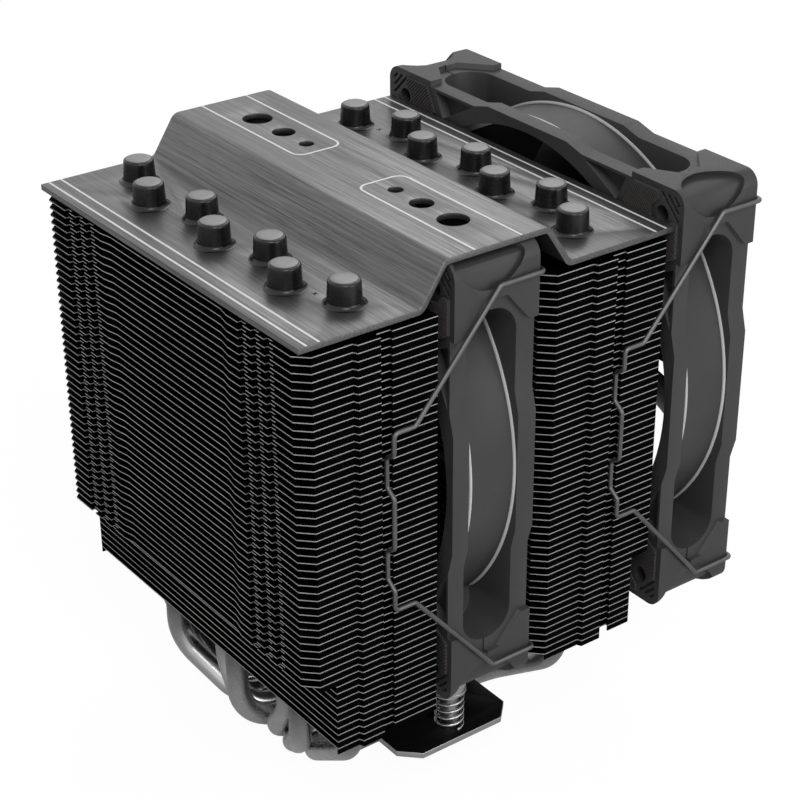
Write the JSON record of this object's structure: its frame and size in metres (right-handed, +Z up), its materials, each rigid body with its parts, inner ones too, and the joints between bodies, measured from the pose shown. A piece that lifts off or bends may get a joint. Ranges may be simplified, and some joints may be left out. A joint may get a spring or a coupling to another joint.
{
  "type": "cpu tower cooler",
  "caption": "Dual-tower processor cooler: fin stacks on U-shaped heat pipes, folded cover plate, spring-screw bar, and fans held by wire clips.",
  "frame": {"origin": "centre of the cold plate's underside, the face that rests on the processor", "axes": "+X across the fins, +Y the way the air blows from the front tower to the rear fan, +Z up away from the processor"},
  "size_m": [0.123, 0.1377, 0.158],
  "materials": {
    "plated_copper": "nickel-plated, finely milled",
    "base_metal": "machined, plated",
    "black_steel": "black coated sheet with bare edges",
    "pipe_metal": "dark nickel over copper",
    "black_gloss": "glossy black, lighter tops",
    "cover_metal": "brushed dark grey anodised",
    "fin_metal": "black coated fins with bare edges",
    "fan_plastic": "charcoal, satin",
    "impeller_plastic": "near-black, satin",
    "pad_rubber": "brownish grey, ribbed",
    "wire_steel": "drawn spring wire",
    "spring_steel": "bright spring wire",
    "screw_steel": "turned steel",
    "soft_iron": "stamped",
    "magnet_ferrite": "dark bonded ferrite",
    "copper_wire": "enamelled copper",
    "board_laminate": "green laminate",
    "bearing_metal": "sintered"
  },
  "bodies": {
    "heatsink": {"cold_plate": "plated_copper", "base_block": "base_metal", "mounting_bar": "black_steel", "bar_screws": "screw_steel", "heat_pipe_1": "pipe_metal", "heat_pipe_2": "pipe_metal", "heat_pipe_3": "pipe_metal", "heat_pipe_4": "pipe_metal", "heat_pipe_5": "pipe_metal", "heat_pipe_6": "pipe_metal", "heat_pipe_7": "pipe_metal", "pipe_caps_front": "black_gloss", "pipe_caps_rear": "black_gloss", "pipe_collars": "black_gloss", "cover_plate": "cover_metal", "fins_front_upper": "fin_metal", "fins_front_lower": "fin_metal", "fins_rear_upper": "fin_metal", "fins_rear_lower": "fin_metal", "spring_left": "spring_steel", "spring_right": "spring_steel", "mid_fan_frame": "fan_plastic", "mid_fan_bearing": "bearing_metal", "mid_fan_stator_core": "soft_iron", "mid_fan_windings": "copper_wire", "mid_fan_circuit_board": "board_laminate", "mid_fan_corner_pads": "pad_rubber"},
    "mid_impeller": {"mid_fan_impeller": "impeller_plastic", "mid_fan_rotor_cup": "soft_iron", "mid_fan_magnet_ring": "magnet_ferrite", "mid_fan_shaft": "screw_steel", "mid_fan_lock_ring": "screw_steel"},
    "rear_fan": {"rear_fan_frame": "fan_plastic", "rear_fan_bearing": "bearing_metal", "rear_fan_stator_core": "soft_iron", "rear_fan_windings": "copper_wire", "rear_fan_circuit_board": "board_laminate", "rear_fan_corner_pads": "pad_rubber"},
    "rear_impeller": {"rear_fan_impeller": "impeller_plastic", "rear_fan_rotor_cup": "soft_iron", "rear_fan_magnet_ring": "magnet_ferrite", "rear_fan_shaft": "screw_steel", "rear_fan_lock_ring": "screw_steel"},
    "mid_clip_left": {"mid_clip_left": "wire_steel"},
    "mid_clip_right": {"mid_clip_right": "wire_steel"},
    "rear_clip_left": {"rear_clip_left": "wire_steel"},
    "rear_clip_right": {"rear_clip_right": "wire_steel"},
    "screw_carrier_left": {"spring_washer_left": "screw_steel"},
    "screw_left": {"spring_screw_left": "screw_steel", "screw_keeper_left": "screw_steel"},
    "screw_carrier_right": {"spring_washer_right": "screw_steel"},
    "screw_right": {"spring_screw_right": "screw_steel", "screw_keeper_right": "screw_steel"}
  },
  "joints": [
    {"name": "mid_fan_spin", "type": "hinge", "parent": "heatsink", "child": "mid_impeller", "pos_m": [0, -0.0015, 0.0963], "axis": [0, 1, 0], "continuous": true},
    {"name": "rear_fan_height", "type": "slide", "parent": "heatsink", "child": "rear_fan", "axis": [0, 0, 1], "range_m": [-0.005, 0.025]},
    {"name": "rear_fan_spin", "type": "hinge", "parent": "rear_fan", "child": "rear_impeller", "pos_m": [0, 0.0688, 0.0963], "axis": [0, 1, 0], "continuous": true},
    {"name": "mid_clip_left_swing", "type": "hinge", "parent": "heatsink", "child": "mid_clip_left", "pos_m": [-0.0525, 0.0118, 0.0963], "axis": [0, 0, -1], "range_deg": [0, 25], "stiffness_Nm_per_rad": 0.05},
    {"name": "mid_clip_right_swing", "type": "hinge", "parent": "heatsink", "child": "mid_clip_right", "pos_m": [0.0525, 0.0118, 0.0963], "axis": [0, 0, 1], "range_deg": [0, 25], "stiffness_Nm_per_rad": 0.05},
    {"name": "rear_clip_left_swing", "type": "hinge", "parent": "rear_fan", "child": "rear_clip_left", "pos_m": [-0.0525, 0.0821, 0.0963], "axis": [0, 0, -1], "range_deg": [0, 25], "stiffness_Nm_per_rad": 0.05},
    {"name": "rear_clip_right_swing", "type": "hinge", "parent": "rear_fan", "child": "rear_clip_right", "pos_m": [0.0525, 0.0821, 0.0963], "axis": [0, 0, 1], "range_deg": [0, 25], "stiffness_Nm_per_rad": 0.05},
    {"name": "screw_left_press", "type": "slide", "parent": "heatsink", "child": "screw_carrier_left", "axis": [0, 0, 1], "range_m": [-0.0035, 0], "stiffness_N_per_m": 4000, "deforming": ["spring_left"]},
    {"name": "screw_left_turn", "type": "hinge", "parent": "screw_carrier_left", "child": "screw_left", "pos_m": [-0.0414, 0, 0.018], "axis": [0, 0, 1], "continuous": true},
    {"name": "screw_right_press", "type": "slide", "parent": "heatsink", "child": "screw_carrier_right", "axis": [0, 0, 1], "range_m": [-0.0035, 0], "stiffness_N_per_m": 4000, "deforming": ["spring_right"]},
    {"name": "screw_right_turn", "type": "hinge", "parent": "screw_carrier_right", "child": "screw_right", "pos_m": [0.0414, 0, 0.018], "axis": [0, 0, 1], "continuous": true}
  ]
}
